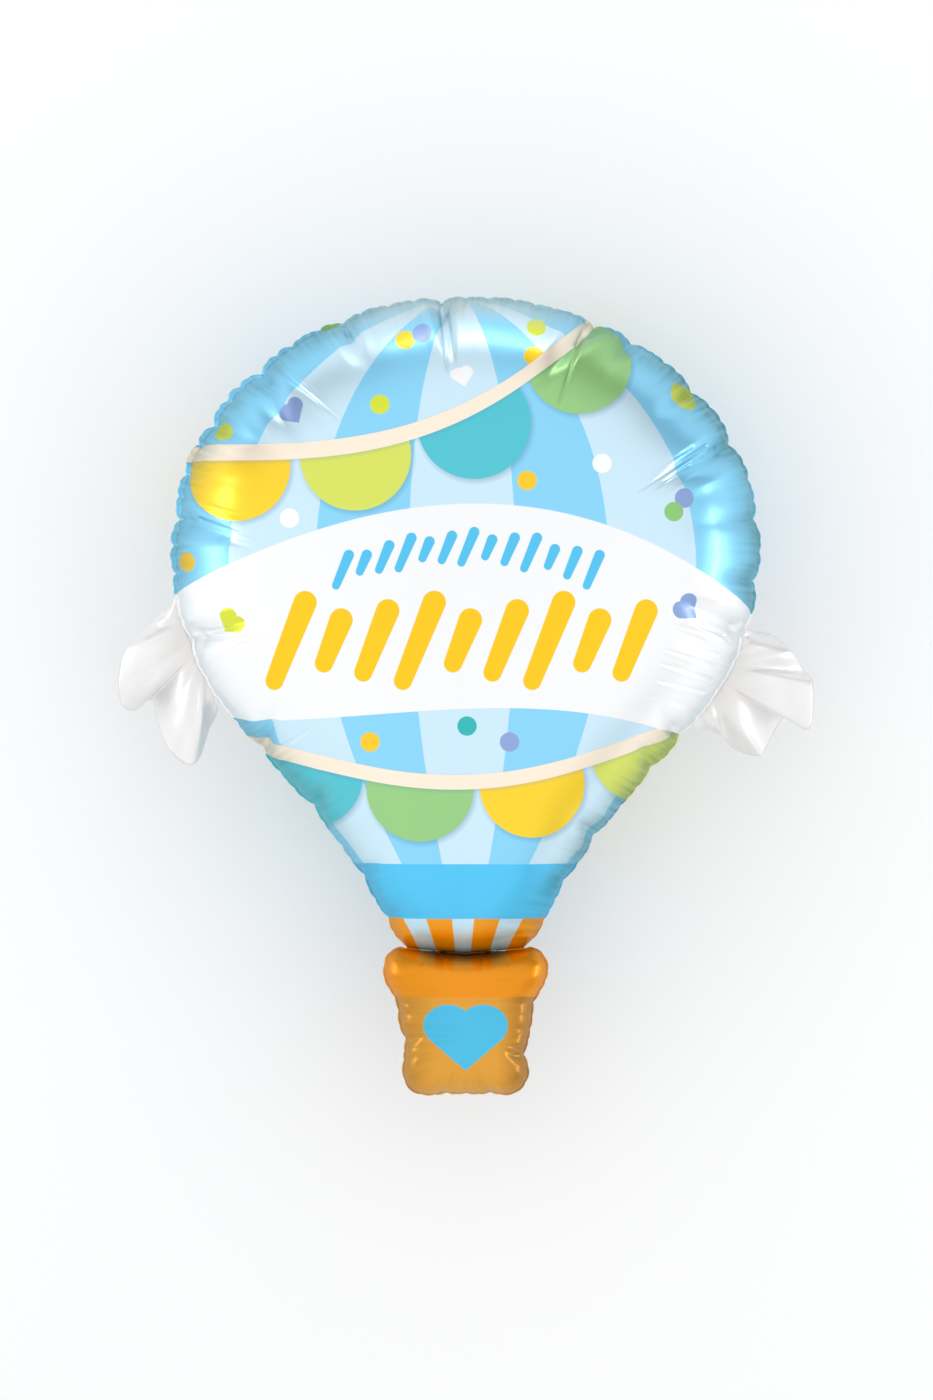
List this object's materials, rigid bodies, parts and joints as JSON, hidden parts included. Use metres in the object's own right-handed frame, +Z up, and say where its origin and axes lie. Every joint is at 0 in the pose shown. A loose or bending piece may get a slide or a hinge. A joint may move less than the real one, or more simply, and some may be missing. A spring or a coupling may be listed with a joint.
{
  "type": "foil balloon",
  "caption": "Inflated foil balloon shaped like a hot air balloon, with a round crown, a pinched neck, a small puffed basket and a pleated white tail on each side, lying on its back.",
  "frame": {"origin": "on the floor under the middle of the whole balloon's length and width", "axes": "+X towards the right tail as the printed front is read, +Y from the basket towards the crown, +Z up, out of the printed front"},
  "size_m": [0.9326, 1.067, 0.4167],
  "materials": {
    "printed_foil": "glossy metallised film, printed in pale and sky blue stripes, with a white banner and an orange basket",
    "white_film": "thin pearly white film"
  },
  "bodies": {
    "root": {"foil_balloon": "printed_foil", "left_tail": "white_film", "right_tail": "white_film"}
  },
  "joints": []
}
